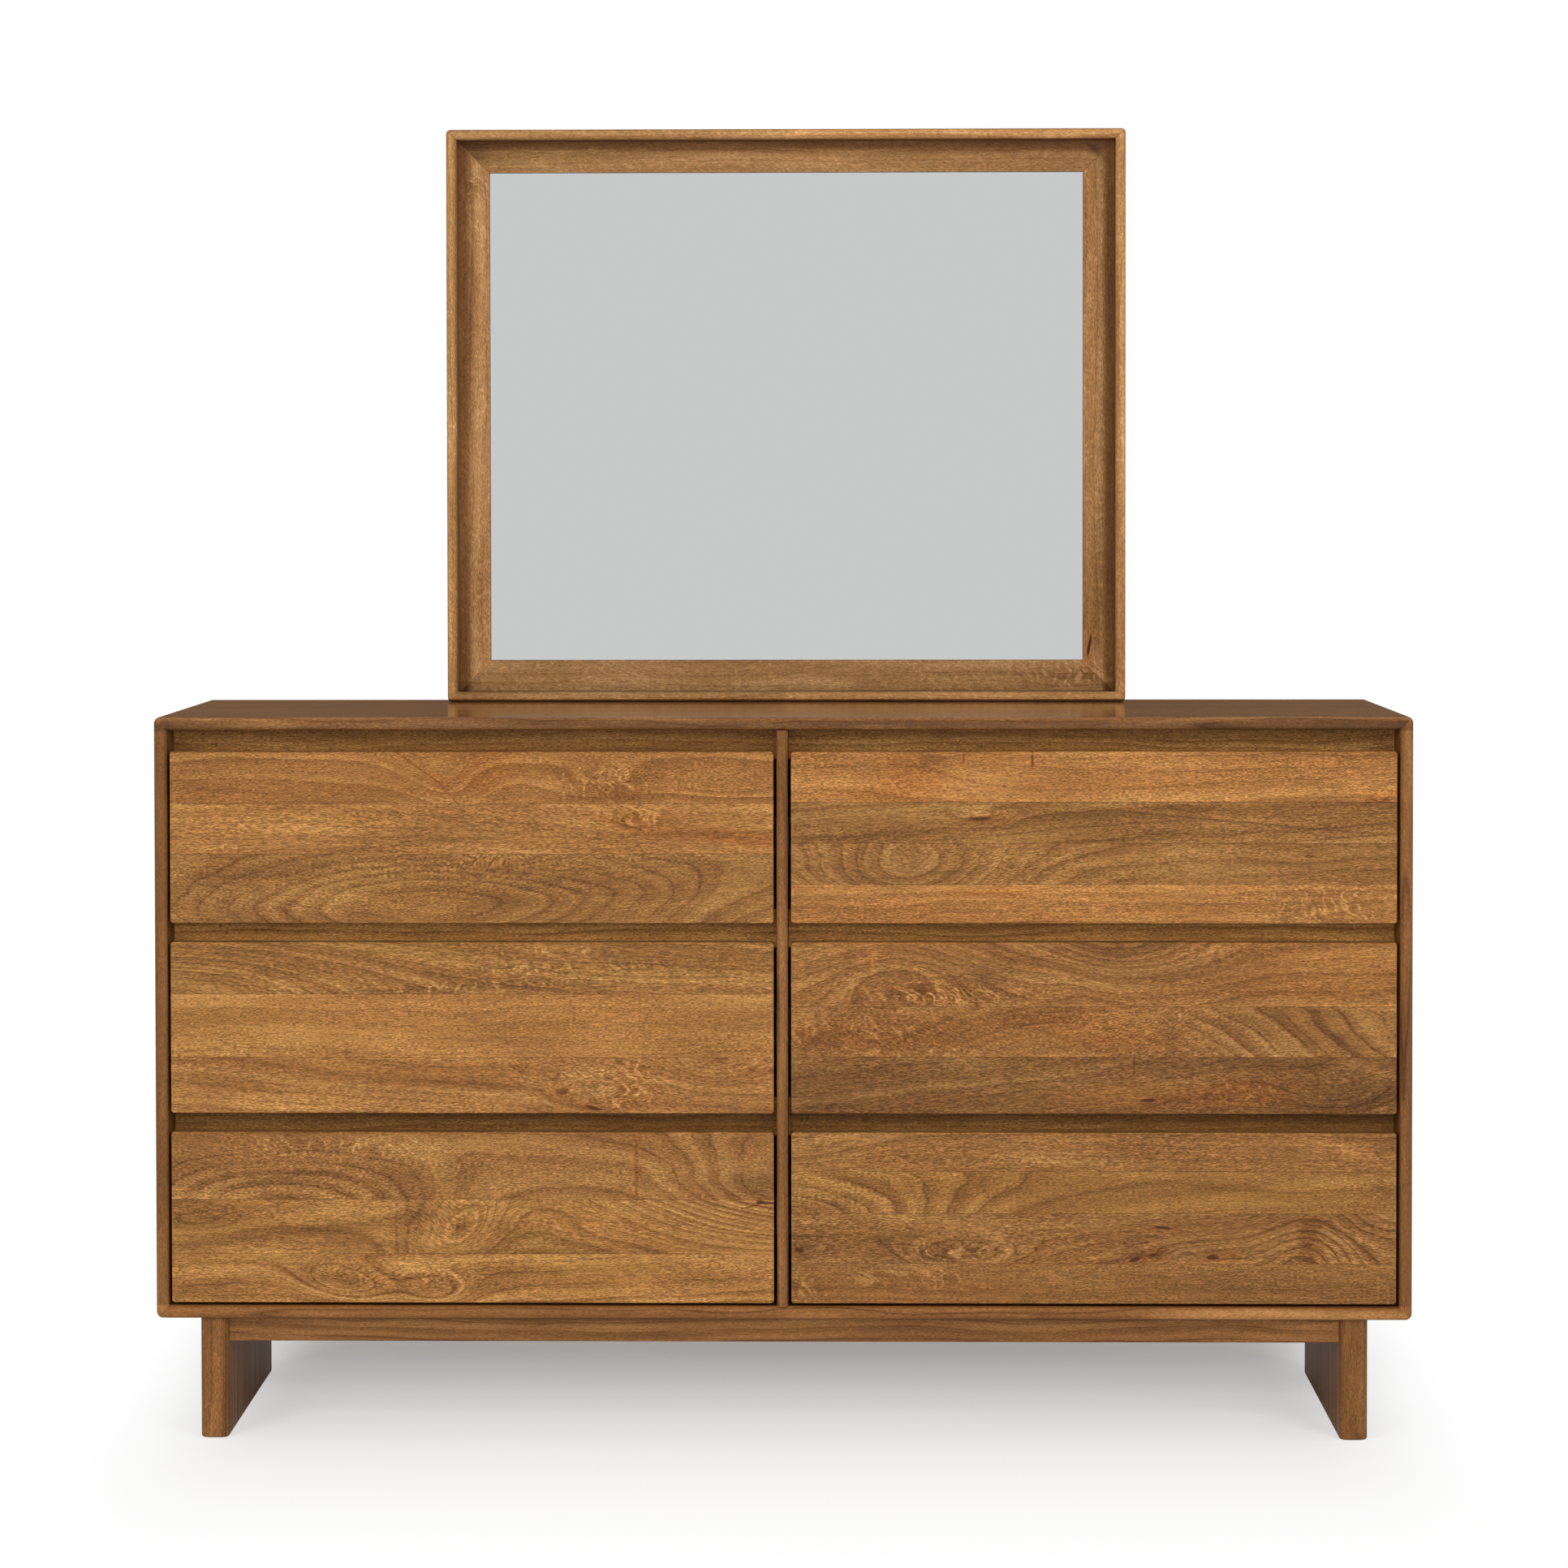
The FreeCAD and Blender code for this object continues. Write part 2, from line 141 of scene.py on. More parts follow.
class Tree:
    """The nodes of one material or world."""

    def __init__(self, tree):
        self.tree = tree
        tree.nodes.clear()

    def node(self, kind, settings=None, sockets=None, output=0):
        node = self.tree.nodes.new(kind)
        for name, setting in (settings or {}).items():
            if name == "stops":
                self.set_stops(node.color_ramp.elements, setting)
            else:
                setattr(node, name, setting)
        for key, term in (sockets or {}).items():
            if isinstance(term, Value):
                self.tree.links.new(term.socket, node.inputs[key])
            else:
                node.inputs[key].default_value = term
        return Value(self, node.outputs[output] if node.outputs else None)

    def set_stops(self, elements, stops):
        while len(elements) < len(stops):
            elements.new(1.0)
        for element, (position, colour) in zip(elements, stops):
            element.position = position
            element.color = colour

    def vector(self, operation, *terms):
        return self.node("ShaderNodeVectorMath", {"operation": operation}, dict(enumerate(terms)))

    def scaled(self, colour, factor):
        """A colour made lighter or darker."""
        start = colour if isinstance(colour, Value) else tuple(colour)[:3]
        return self.node("ShaderNodeVectorMath", {"operation": "SCALE"},
                         {0: start, "Scale": factor})

    def mix(self, factor, first, second, how="MIX"):
        return self.node("ShaderNodeMix", {"data_type": "RGBA", "blend_type": how},
                         {0: factor, 6: first, 7: second}, output=2)

    def join(self, *parts):
        return self.node("ShaderNodeCombineXYZ", {}, dict(enumerate(parts)))

    def noise(self, place, size, seed=0.0, detail=2.0, roughness=0.5):
        """Noise whose features are about as large as size, in mm along each axis of place."""
        scales = tuple(1.0 / extent for extent in size)
        moved = self.vector("MULTIPLY_ADD", place, scales, (seed, seed * 1.7, seed * 0.6))
        return self.node("ShaderNodeTexNoise", {},
                         {"Vector": moved, "Scale": 1.0, "Detail": detail, "Roughness": roughness})

    def noise_along(self, value, size, seed=0.0, detail=2.0, roughness=0.5):
        """Noise along one value only, so that it draws that value's contour lines."""
        return self.node("ShaderNodeTexNoise", {"noise_dimensions": "1D"},
                         {"W": value / size + seed, "Scale": 1.0, "Detail": detail,
                          "Roughness": roughness})

    def board(self, axes):
        """Place in mm along a board's grain, across it and through it; axes names them, as xzy."""
        coordinates = self.node("ShaderNodeTexCoord", output="Object")
        split = self.node("ShaderNodeSeparateXYZ", {}, {0: coordinates}).socket.node
        parts = {name: Value(self, split.outputs[name.upper()]) / MM for name in "xyz"}
        return [parts[name] for name in axes]

    def surface(self, colour, roughness, height=None, relief=0.0, **constants):
        """A Principled shader with its output. relief is the depth of the bumps in metres."""
        sockets = {"Base Color": colour, "Roughness": roughness}
        if height is not None:
            sockets["Normal"] = self.node("ShaderNodeBump", {},
                                          {"Strength": 1.0, "Distance": relief, "Height": height})
        for name, constant in constants.items():
            sockets[name.replace("_", " ")] = constant
        shader = self.node("ShaderNodeBsdfPrincipled", {}, sockets)
        self.node("ShaderNodeOutputMaterial", {}, {"Surface": shader})


def new_material(name):
    material = bpy.data.materials.new(name)
    material.use_nodes = True
    return material, Tree(material.node_tree)


def coat(node, material):
    """Give a CAD node one material."""
    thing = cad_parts[node]
    thing.data.materials.clear()
    thing.data.materials.append(material)


# ---- Figure of the drawer fronts ------------------------------------------------------------
class Mark(NamedTuple):
    """A soft oval in a board's grain: an eye, a burl, a worn spot, a patch of another colour.
    On a drawer front its place is measured from the front's lower left corner."""
    along: float          # mm to the right to its middle
    up: float             # mm upward to its middle
    wide: float           # mm from its middle to where it has mostly faded, along the grain
    tall: float           # the same across the grain
    lift: float = 0.0     # mm by which the growth rings shift in it
    shade: float = 0.0    # lighter above 0, darker below
    warmth: float = 0.0   # more orange above 0, more golden below
    curl: float = 0.0     # strength of cross ripples
    bold: float = 0.0     # extra contrast of the growth rings
    lean: float = 0.0     # rise of its long axis


class Knot(NamedTuple):
    """A dark knot, slit or crack, measured as a Mark is."""
    along: float
    up: float
    wide: float
    tall: float
    dark: float = 0.8
    lean: float = 0.0


class Plank(NamedTuple):
    """One strip of a glued-up front. Strips are listed from the bottom up."""
    height: float
    shade: float = 0.0
    warmth: float = 0.0
    lean: float = 0.0      # rise of the grain along the strip
    straight: float = 1.0  # weight of plain straight grain in its figure
    contrast: float = 1.0  # of its growth rings
    marks: tuple = ()
    knots: tuple = ()


FRONTS = {
    "left_top": (
        Plank(84, shade=-0.08, warmth=-0.3, straight=0.4, contrast=1.0, marks=(
            Mark(320, 14, 290, 66, lift=150), Mark(412, 88, 48, 22, lift=-44),
            Mark(120, 62, 140, 9, shade=-0.1, warmth=0.3, lean=0.2),
            Mark(300, 30, 80, 20, shade=0.08, warmth=-0.3), Mark(640, 72, 70, 12, shade=-0.07),
            Mark(90, 20, 60, 26, shade=-0.05, warmth=0.3))),
        Plank(61, shade=0.07, warmth=-0.05, lean=0.03, contrast=0.5, marks=(
            Mark(330, 112, 150, 13, shade=-0.17, warmth=-0.15, lean=0.13),
            Mark(290, 95, 130, 3, shade=-0.12, lean=0.1),
            Mark(566, 126, 36, 16, lift=26, curl=1.2, warmth=0.6),
            Mark(690, 104, 90, 9, warmth=1.2, shade=-0.1, lean=-0.1, curl=0.3),
            Mark(60, 125, 140, 26, shade=0.05, warmth=-0.15), Mark(66, 100, 12, 12, curl=0.8)), knots=(
            Knot(556, 118, 20, 1.6, dark=0.5, lean=-0.3),)),
        Plank(63, warmth=0.3, contrast=0.6, marks=(
            Mark(385, 190, 38, 30, warmth=0.7, shade=-0.05),
            Mark(520, 172, 60, 22, curl=1.3, lift=30),
            Mark(545, 156, 40, 8, shade=-0.16, warmth=0.4), Mark(470, 186, 50, 8, shade=-0.08),
            Mark(100, 158, 90, 4, shade=-0.1, warmth=0.3, lean=-0.1),
            Mark(30, 178, 50, 14, curl=0.7, shade=-0.03),
            Mark(660, 165, 90, 16, lift=14, bold=0.8, lean=-0.1),
            Mark(40, 200, 70, 5, shade=-0.08), Mark(330, 175, 60, 50, lift=40, lean=-0.6)), knots=(
            Knot(300, 190, 30, 1.3, dark=0.4, lean=-0.7),
            Knot(336, 160, 26, 1.3, dark=0.4, lean=-1.1))),
    ),
    "right_top": (
        Plank(47, shade=0.11, warmth=0.25, contrast=0.6, marks=(
            Mark(655, 24, 80, 40, curl=1.0, shade=-0.05), Mark(600, 20, 12, 24, shade=-0.08),
            Mark(640, 20, 7, 24, shade=-0.06), Mark(250, 38, 60, 7, warmth=0.9, shade=-0.05),
            Mark(330, 20, 100, 12, shade=0.05))),
        Plank(50, shade=-0.08, warmth=-0.25, straight=0.6, contrast=0.8, marks=(
            Mark(140, 66, 130, 78, lift=120, bold=0.3), Mark(627, 81, 40, 10, lift=8),
            Mark(172, 62, 40, 2, shade=-0.16), Mark(90, 70, 90, 40, shade=-0.05, warmth=0.2)), knots=(
            Knot(627, 81, 7, 1.8, dark=0.6), Knot(566, 90, 1.2, 5, dark=0.4, lean=0.4))),
        Plank(50, shade=-0.1, warmth=-0.35, lean=-0.07, contrast=0.8, marks=(
            Mark(227, 127, 44, 12, lift=12), Mark(240, 124, 30, 5, warmth=1.2, shade=-0.12),
            Mark(250, 134, 22, 4, shade=0.08),
            Mark(548, 126, 190, 1.8, shade=0.1, warmth=0.6, lean=-0.09),
            Mark(548, 122.5, 190, 1.4, shade=-0.2, lean=-0.09),
            Mark(60, 128, 80, 20, warmth=0.2, shade=-0.04),
            Mark(380, 122, 110, 20, shade=-0.06, warmth=-0.2)), knots=(
            Knot(227, 127, 12, 2.6, dark=0.8),)),
        Plank(61, shade=0.11, warmth=0.25, contrast=0.6, marks=(
            Mark(166, 196, 26, 11, shade=-0.22), Mark(140, 178, 40, 22, warmth=0.9, curl=0.6),
            Mark(150, 190, 3, 22, shade=0.14, lean=1.2), Mark(300, 160, 160, 40, lift=20),
            Mark(728, 152, 22, 7, lift=10, warmth=2.0, shade=-0.12)), knots=(
            Knot(292, 198, 1.6, 10, dark=0.7), Knot(209, 200, 1.3, 6, dark=0.5),
            Knot(718, 150, 5, 2.6, dark=0.5))),
    ),
    "left_middle": (
        Plank(68, shade=0.02, warmth=0.1, lean=0.08, contrast=0.7, marks=(
            Mark(515, 24, 50, 26, lift=34, shade=-0.1, curl=0.6),
            Mark(560, 34, 30, 26, curl=1.6, shade=0.02, warmth=0.5),
            Mark(476, 26, 14, 11, lift=16, shade=-0.12, warmth=0.5),
            Mark(660, 60, 62, 24, lift=60, bold=0.5, shade=-0.03),
            Mark(200, 40, 150, 12, shade=-0.03)), knots=(
            Knot(476, 27, 7, 4, dark=0.6), Knot(512, 7, 9, 2.4, dark=0.85, lean=-0.3),
            Knot(706, 53, 4, 2.6, dark=0.6), Knot(729, 52, 4, 2.6, dark=0.6))),
        Plank(77, shade=0.17, warmth=-0.25, contrast=0.35, marks=(
            Mark(75, 100, 60, 30, warmth=-0.6, shade=-0.06),
            Mark(680, 110, 100, 90, shade=-0.1), Mark(520, 115, 60, 40, shade=0.03),
            Mark(130, 78, 90, 6, shade=-0.06, curl=0.4))),
        Plank(63, shade=-0.03, warmth=-0.3, lean=0.06, contrast=0.9, marks=(
            Mark(0, 150, 210, 60, lift=-85, bold=0.7), Mark(160, 190, 60, 14, shade=0.05),
            Mark(330, 152, 130, 6, curl=1.5, lean=0.06, shade=-0.04),
            Mark(480, 178, 130, 7, curl=1.3, lean=0.05, shade=-0.04),
            Mark(470, 196, 110, 5, curl=1.0), Mark(300, 197, 90, 10, warmth=-0.9),
            Mark(460, 160, 120, 8, shade=-0.05, lean=0.1))),
    ),
    "right_middle": (
        Plank(69, shade=-0.24, warmth=0.1, lean=-0.14, contrast=0.6, marks=(
            Mark(300, 45, 110, 24, warmth=-0.6, shade=0.06),
            Mark(545, 26, 55, 16, warmth=1.6, shade=0.14, curl=0.8),
            Mark(660, 24, 75, 30, shade=-0.14, warmth=0.6, lift=40, bold=0.8, curl=0.5),
            Mark(400, 24, 80, 20, warmth=1.0, shade=0.03),
            Mark(690, 58, 60, 8, shade=0.1, lean=-0.3)), knots=(
            Knot(432, 17, 10, 1.9, dark=0.9), Knot(415, 62, 1.4, 14, dark=0.4, lean=0.2))),
        Plank(61, shade=-0.07, warmth=0.15, straight=0.1, contrast=0.5, marks=(
            Mark(350, 20, 270, 130, lift=230), Mark(635, 95, 110, 70, bold=1.5, warmth=-0.5),
            Mark(460, 100, 9, 20, shade=-0.16, lean=-0.2), Mark(380, 100, 80, 30, warmth=0.7),
            Mark(90, 95, 120, 30, curl=1.0, warmth=0.6),
            Mark(290, 116, 60, 10, shade=-0.12, warmth=0.3))),
        Plank(78, shade=-0.06, warmth=0.15, straight=0.7, contrast=0.8, marks=(
            Mark(397, 216, 120, 58, lift=110, bold=0.5), Mark(397, 205, 62, 30, shade=-0.14),
            Mark(98, 188, 5, 14, shade=0.25, warmth=0.6),
            Mark(180, 146, 80, 13, curl=1.9, shade=0.04, warmth=0.4),
            Mark(232, 165, 40, 14, shade=-0.16),
            Mark(640, 165, 120, 40, warmth=0.5, shade=0.05), Mark(130, 165, 80, 50, lift=-50),
            Mark(340, 160, 60, 30, lift=-20, lean=-0.5)), knots=(
            Knot(397, 203, 5, 2, dark=0.5),)),
    ),
    "left_bottom": (
        Plank(60, shade=0.12, warmth=-0.3, lean=-0.03, contrast=0.9, marks=(
            Mark(215, 20, 66, 26, lift=66, bold=0.8, lean=-0.15),
            Mark(322, 12, 46, 22, lift=54, bold=0.8), Mark(205, 26, 40, 10, shade=-0.08),
            Mark(310, 20, 30, 8, shade=-0.06), Mark(175, 44, 50, 14, shade=-0.12),
            Mark(255, 14, 60, 8, shade=-0.1, lean=-0.3),
            Mark(385, 42, 40, 8, shade=-0.06, warmth=-0.4), Mark(560, 44, 170, 10, warmth=-0.6),
            Mark(60, 50, 100, 6, warmth=-1.0, lean=0.12),
            Mark(60, 24, 70, 6, shade=-0.1, lean=0.2))),
        Plank(66, shade=0.06, warmth=-0.4, straight=0.35, contrast=0.8, marks=(
            Mark(775, 160, 225, 86, lift=260, bold=1.5), Mark(520, 92, 60, 26, shade=0.1),
            Mark(150, 86, 190, 6, shade=-0.2, lean=0.13),
            Mark(30, 102, 46, 14, shade=-0.16, lift=30, warmth=-0.4),
            Mark(300, 106, 22, 26, shade=-0.14, lean=0.6, warmth=0.3),
            Mark(350, 90, 60, 50, lift=120, bold=0.5, shade=0.04, lean=0.5),
            Mark(460, 74, 80, 12, shade=-0.1, warmth=-1.0, lean=-0.28),
            Mark(420, 60, 80, 8, shade=-0.12, warmth=-0.6), Mark(250, 70, 60, 7, shade=-0.12)), knots=(
            Knot(722, 122, 14, 1.4, dark=0.9), Knot(727, 115, 3, 1.3, dark=0.8, lean=1.5),
            Knot(704, 118, 12, 1.1, dark=0.6, lean=0.25), Knot(716, 124, 5, 1.4, dark=0.8))),
        Plank(82, shade=-0.04, warmth=0.0, straight=0.55, contrast=0.8, marks=(
            Mark(150, 120, 190, 52, lift=115, bold=0.4), Mark(190, 190, 120, 12, curl=1.3),
            Mark(268, 146, 26, 22, shade=-0.1), Mark(340, 165, 16, 30, shade=-0.1, lean=0.4),
            Mark(740, 140, 120, 90, lift=90), Mark(716, 146, 44, 18, shade=-0.22, curl=0.3),
            Mark(480, 150, 90, 5, shade=-0.08, lean=0.3),
            Mark(120, 150, 110, 4, shade=-0.14, lean=0.15)), knots=(
            Knot(565, 160, 2.4, 40, dark=0.3, lean=0.0),)),
    ),
    "right_bottom": (
        Plank(49, shade=-0.1, warmth=0.1, contrast=0.5, marks=(
            Mark(170, 30, 90, 16, curl=0.8, shade=0.05, warmth=0.3),
            Mark(15, 20, 30, 20, curl=1.0), Mark(95, 34, 14, 12, curl=1.2, shade=-0.05),
            Mark(355, 36, 12, 2, warmth=1.8, shade=-0.1, lean=0.4),
            Mark(600, 20, 200, 30, shade=-0.03, warmth=-0.2))),
        Plank(61, shade=-0.1, warmth=0.0, straight=0.8, contrast=0.8, marks=(
            Mark(205, 60, 76, 22, lift=60, bold=0.5),
            Mark(185, 62, 46, 13, curl=1.6, shade=-0.03),
            Mark(272, 62, 3, 14, shade=-0.16, lean=-0.2),
            Mark(10, 65, 26, 14, lift=10, shade=-0.12),
            Mark(510, 46, 92, 44, lift=-60, bold=0.4), Mark(480, 62, 60, 10, shade=-0.1),
            Mark(414, 76, 16, 26, shade=-0.1, warmth=-0.3),
            Mark(440, 58, 14, 9, warmth=1.8, lift=10, curl=0.6),
            Mark(520, 58, 20, 9, warmth=1.6, shade=-0.06),
            Mark(628, 74, 13, 30, warmth=1.6, shade=-0.18, curl=0.8, lean=-0.3),
            Mark(625, 60, 60, 70, lift=-80, bold=0.5), Mark(690, 80, 70, 26, bold=0.9)), knots=(
            Knot(10, 65, 6, 3.6, dark=0.8), Knot(416, 54, 7, 3, dark=0.9, lean=0.3),
            Knot(438, 60, 3, 1.6, dark=0.5), Knot(510, 57, 7, 3.4, dark=0.85),
            Knot(450, 93, 11, 1.8, dark=0.95, lean=-0.1), Knot(430, 75, 4, 1.2, dark=0.7))),
        Plank(51, shade=0.01, warmth=-0.6, straight=0.7, contrast=0.7, marks=(
            Mark(-30, 80, 230, 80, lift=160, bold=1.3),
            Mark(520, 130, 150, 7, warmth=-1.5, shade=0.08, lean=0.11),
            Mark(210, 152, 90, 9, warmth=-1.3, shade=0.04, lean=-0.08),
            Mark(480, 136, 160, 7, shade=-0.1, lean=0.11), Mark(50, 126, 50, 12, shade=-0.08),
            Mark(715, 140, 26, 16, shade=-0.12, warmth=0.6, curl=0.8))),
        Plank(47, shade=-0.04, warmth=-0.05, contrast=0.6, marks=(
            Mark(665, 188, 44, 11, shade=0.22, lean=-0.2),
            Mark(0, 190, 90, 40, lift=30, shade=-0.05),
            Mark(110, 175, 60, 14, warmth=0.5, shade=0.03), Mark(722, 188, 20, 14, shade=-0.14))),
    ),
}

# Places on the mirror's frame are given as height, then place to the right.
MIRROR_MARKS = (
    Mark(1551, -405, 13, 11, shade=-0.12, warmth=0.6, curl=1.0),
    Mark(1594, 405, 9, 7, shade=-0.22, lean=-0.9), Mark(1591, -400, 9, 12, shade=-0.16),
    Mark(912, 380, 14, 60, curl=0.9), Mark(1020, 404, 90, 9, shade=-0.05, warmth=0.4),
    Mark(1000, -404, 120, 8, warmth=0.4), Mark(1300, 402, 150, 6, shade=0.04),
)
MIRROR_KNOTS = (Knot(951, 395.5, 15, 1.9, dark=1.0, lean=0.18),)
# Places on the case's front are given as place to the right, then height.
CASE_MARKS = (
    Mark(-756, 876, 2.5, 3, shade=0.5), Mark(757, 877, 2.5, 2.5, shade=0.4),
    Mark(-698, 877.5, 10, 0.9, shade=0.35), Mark(-668, 980, 5, 9, shade=0.5, lean=2.0),
    Mark(-420, 874, 120, 4, shade=-0.05), Mark(330, 876, 150, 3, shade=0.04),
    Mark(-690, 60, 5, 60, shade=0.05), Mark(-697, 22, 1, 12, shade=0.16),
    Mark(702, 70, 4, 60, shade=0.04), Mark(640, 1070, 26, 8, shade=0.2, lean=-0.5),
    Mark(-5, 1000, 9, 8, shade=0.25), Mark(-600, 872, 90, 3, shade=0.12),
    Mark(560, 874, 60, 4, shade=0.08), Mark(-756, 840, 14, 50, shade=-0.08),
    Mark(757, 210, 14, 60, shade=0.06), Mark(150, 872, 70, 5, shade=-0.1, warmth=0.5),
)


# ---- Wood -----------------------------------------------------------------------------------
class Grain(NamedTuple):
    """What a tree's sockets say about the wood at a point. Lengths are in mm."""
    along: Value           # along the grain
    across: Value          # across it, on the board's face
    through: Value         # through the board
    bend: object = 0.0     # how far the grain is pushed across the board
    straight: object = 1.0
    contrast: object = 1.0
    shade: object = 0.0
    warmth: object = 0.0
    curl: object = 0.0
    dark: object = 0.0     # knots, cracks, seams and a painted contact shadow


def plain_grain(tree, axes, board=0.0):
    along, across, through = tree.board(axes)
    return Grain(along, across, through + board)


def oval(along, up, mark):
    """Squared distance from a mark's middle, 1 on its rim."""
    sideways = along - mark.along
    upward = up - mark.up
    if mark.lean:
        upward = upward - mark.lean * sideways
    sideways = sideways / mark.wide
    upward = upward / mark.tall
    return sideways * sideways + upward * upward


def marked(grain, along, up, marks=(), knots=()):
    """A grain with marks and knots added at places along and up a face."""
    bend, contrast, shade, warmth, curl, dark = (grain.bend, grain.contrast, grain.shade,
                                                 grain.warmth, grain.curl, grain.dark)
    for mark in marks:
        soft = oval(along, up, mark).fading()
        bend = bend + mark.lift * soft if mark.lift else bend
        contrast = contrast + mark.bold * soft if mark.bold else contrast
        shade = shade + mark.shade * soft if mark.shade else shade
        warmth = warmth + mark.warmth * soft if mark.warmth else warmth
        curl = curl + mark.curl * soft if mark.curl else curl
    if knots:
        ragged = 2.0 * along.tree.noise(along.tree.join(along, up), (3, 1.6, 1.0), 6.0) - 1.0
    for knot in knots:
        apart = oval(along, up, knot)
        dark = dark + knot.dark * (apart + ragged).between(1.6, 0.3)
        warmth = warmth + 0.6 * (0.12 * apart).fading()
    return grain._replace(bend=bend, contrast=contrast, shade=shade, warmth=warmth, curl=curl,
                          dark=dark)


def front_grain(tree, node, planks):
    """Grain of one drawer front, with its strips, marks and knots."""
    low, high = [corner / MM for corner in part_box(node)]
    x, z, y = tree.board("xzy")
    along = x - low.x
    up = z - low.z
    rim = along.lesser(high.x - x).lesser(up.lesser(high.z - z)).between(2.4, 0.5)
    chipped = tree.noise(tree.join(x, z, y), (16, 9, 9), 5.0).between(0.3, 0.6)
    whole = {"shade": 0.09 * rim * chipped, "dark": 0.0}
    board = floor = 0.0
    for number, plank in enumerate(planks):
        first, last = number == 0, number == len(planks) - 1
        seam = floor + plank.height
        inside = (up > floor - 10 * first) * (up < seam + 10 * last)
        strip = marked(Grain(along, up, y, plank.lean * along, plank.straight, plank.contrast,
                             plank.shade, plank.warmth), along, up, plank.marks, plank.knots)
        for name in ("bend", "straight", "contrast", "shade", "warmth", "curl"):
            whole[name] = whole.get(name, 0.0) + inside * getattr(strip, name)
        whole["dark"] = whole["dark"] + strip.dark
        if not last:
            glue = abs(up - seam).between(SEAM_WIDTH, 0.2)
            bevel = abs(up - seam - 2 * SEAM_WIDTH).between(1.0, 0.4)
            whole["dark"] = whole["dark"] + 0.35 * glue
            whole["shade"] = whole["shade"] + 0.05 * bevel
        board = board + inside * (BOARD_STEP * number)
        floor = seam
    return Grain(along, up, y + board, **whole)


def mirror_grain(tree, axes):
    """Grain of the mirror's frame, with painted shade inside its rim and at its bottom rail,
    a painted contact shadow along its foot, painted highlights on its rim, and lines at its mitres."""
    x, y, z = tree.board("xyz")
    low, high = [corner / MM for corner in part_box("mirror_frame_left")]
    # How far a point lies inside the frame's inner faces, and behind its front.
    sideways = -high.x - abs(x)
    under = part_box("mirror_frame_top")[0].z / MM - z
    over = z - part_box("mirror_frame_bottom")[1].z / MM
    depth = y - low.y
    right = x > 0.0

    # The rim's front, which gets a painted highlight.
    rim = depth.between(MIRROR_LIP, 2)
    # Painted highlight along the crest of the rim's rounding.
    painted_crest_highlight = abs(sideways.lesser(under) + 9.0).between(6, 1) * (over > 0.0) * rim
    # Painted shade on the liner inside the rim, where the deep rim shades it; it is also made warmer.
    painted_rim_shade = sideways.lesser(under).between(17, 7) * depth.between(4, 24)
    # Painted shade on the bottom rail's inner face and on the liner just above it, darker downward.
    painted_foot_shade = over.between(16, 0) * depth.between(4, 24)
    # Painted contact shadow along the frame's foot, where it stands on the case.
    painted_contact_shadow = (z - low.z).between(2.6, 0.8)
    mitre = abs(sideways - under.lesser(over)).between(0.9, 0.2)
    upper = under < over

    level = 0.13 if axes[0] == "x" else 0.08 * right
    # pale: painted highlights on the rim's front, stronger on the right, and on the crest of its
    # rounding, with a light line at the lower mitres. deep: painted shade inside the rim and at the
    # bottom rail, and a darker tone of the rails and the right stile.
    pale = (0.05 + 0.11 * right) * rim + 0.14 * painted_crest_highlight + 0.15 * mitre * (1.0 - upper)
    deep = 0.28 * painted_rim_shade + 0.12 * painted_foot_shade + level
    grain = plain_grain(tree, axes, 5.0)._replace(
        shade=pale - deep, warmth=1.3 * painted_rim_shade + 0.2 * right - 0.15, contrast=0.6, curl=0.25,
        dark=0.5 * mitre * upper + 0.85 * painted_contact_shadow)
    return marked(grain, z, x, MIRROR_MARKS, MIRROR_KNOTS)


def case_grain(tree, axes):
    """Grain of the case and its base, with worn spots, hairlines at its mitred corners, painted
    light and shade on its front lips, and painted shade just inside its front.
    """
    x, y, z = tree.board("xyz")
    low, high = [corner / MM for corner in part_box("case_top")]
    # How far a point lies inside the case's outer faces, and behind its front.
    sideways = high.x - abs(x)
    under = high.z - z
    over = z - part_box("case_bottom")[0].z / MM
    end = under.lesser(over)
    depth = y - low.y

    mitre = abs(sideways - end).between(0.7, 0.2) * (end > 0.0)
    front = depth.between(CASE_LIP_DEPTH, 8)
    # Painted light on the front lips: the bottom board's lip is lighter, more so towards its top; the
    # top board's lip has a painted highlight along its top and painted shade below it; the sides' lips
    # have painted shade on their inner half.
    painted_lower_lip = (0.155 + 0.12 * over.between(4, 14)) * (over < CASE_LIP) * (over > 0.0)
    painted_upper_lip = 0.14 * under.between(5, 1.5) - 0.2 * under.between(2, 10) * (under < CASE_LIP)
    painted_side_lip = 0.1 * sideways.between(9, 15) * (sideways < CASE_LIP)
    # Painted shade on the case's inner faces just behind its front, where the openings lie in shade.
    inside = (sideways.lesser(end) > 15) * depth.between(3, 20) * (y < high.y)
    grain = plain_grain(tree, axes, 3.0)._replace(
        shade=front * (painted_lower_lip + painted_upper_lip - painted_side_lip) - 0.2 * inside, warmth=-0.15,
        dark=0.35 * mitre)
    return marked(grain, x, z + 0.5 * depth, CASE_MARKS)


def top_grain(tree):
    """Grain of the case's top, in broad bands, made lighter and redder behind its front edge as a
    painted warm reflection.
    """
    grain = case_grain(tree, "xyz")
    # Painted warm reflection: behind its front edge the top is made lighter and redder.
    behind = (grain.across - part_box("case_top")[0].y / MM).between(6, 14)
    bands = tree.noise_along(grain.across + 0.02 * grain.along, 60, 3.0) - 0.5
    return grain._replace(shade=grain.shade + behind * (0.25 + 0.6 * bands),
                          warmth=grain.warmth + 0.5 * behind, contrast=1.0 + behind)


